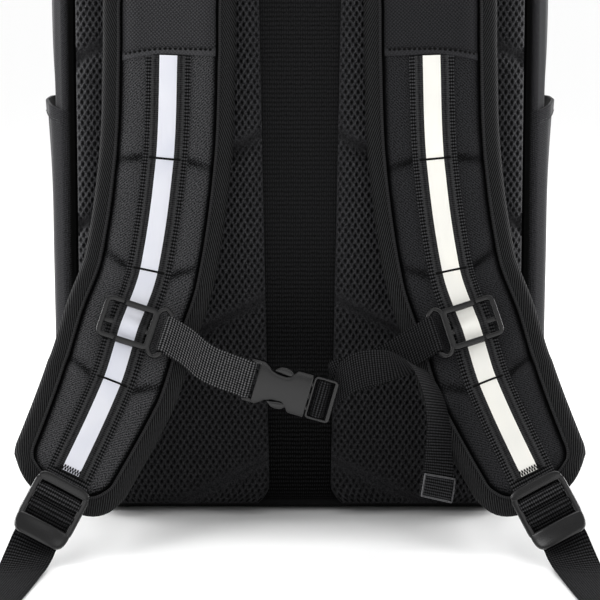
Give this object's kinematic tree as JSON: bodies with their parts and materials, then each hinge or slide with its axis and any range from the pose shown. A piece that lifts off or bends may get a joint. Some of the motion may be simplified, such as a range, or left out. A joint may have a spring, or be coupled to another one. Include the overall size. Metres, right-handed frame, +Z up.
{
  "type": "backpack",
  "caption": "Upright backpack with a hollow zip-top body, mesh back pads, padded shoulder straps with reflective tape and a buckled chest strap.",
  "frame": {"origin": "on the ground, at the middle of the body's base", "axes": "+Z up, -Y out of the strap side, +X to the right as seen from the strap side"},
  "size_m": [0.35, 0.3866, 0.4885],
  "materials": {
    "cloth": "smooth dark woven polyester",
    "channel_cloth": "ribbed dark woven polyester",
    "spacer_mesh": "open spacer mesh over foam",
    "strap_cloth": "charcoal twill over foam",
    "binding": "folded twill binding tape",
    "webbing": "ribbed polyester webbing",
    "ribbon": "grosgrain ribbon",
    "reflective": "light grey reflective tape",
    "hardware": "satin black moulded acetal",
    "zip": "woven zip tape with coil teeth",
    "zip_metal": "dark painted slider"
  },
  "bodies": {
    "root": {"back_panel": "channel_cloth", "base_panel": "cloth", "front_panel": "cloth", "top_panel_back": "cloth", "top_panel_front": "cloth", "zip_tape_back": "zip", "zip_tape_front": "zip", "zip_slider": "zip_metal", "shoulder_yoke": "cloth", "haul_loop": "webbing", "chest_webbing_left": "webbing", "chest_webbing_right": "webbing", "buckle_socket": "hardware", "buckle_plug": "hardware", "side_panel_left": "cloth", "side_pocket_left": "cloth", "back_pad_left": "spacer_mesh", "strap_pad_left": "strap_cloth", "strap_binding_left": "binding", "strap_cap_left": "strap_cloth", "strap_webbing_left": "webbing", "strap_ribbon_left": "ribbon", "reflective_tape_left": "reflective", "chest_slider_left": "hardware", "ladder_lock_left": "hardware", "adjuster_webbing_left": "webbing", "side_panel_right": "cloth", "side_pocket_right": "cloth", "back_pad_right": "spacer_mesh", "strap_pad_right": "strap_cloth", "strap_binding_right": "binding", "strap_cap_right": "strap_cloth", "strap_webbing_right": "webbing", "strap_ribbon_right": "ribbon", "reflective_tape_right": "reflective", "chest_slider_right": "hardware", "ladder_lock_right": "hardware", "adjuster_webbing_right": "webbing"}
  },
  "joints": []
}
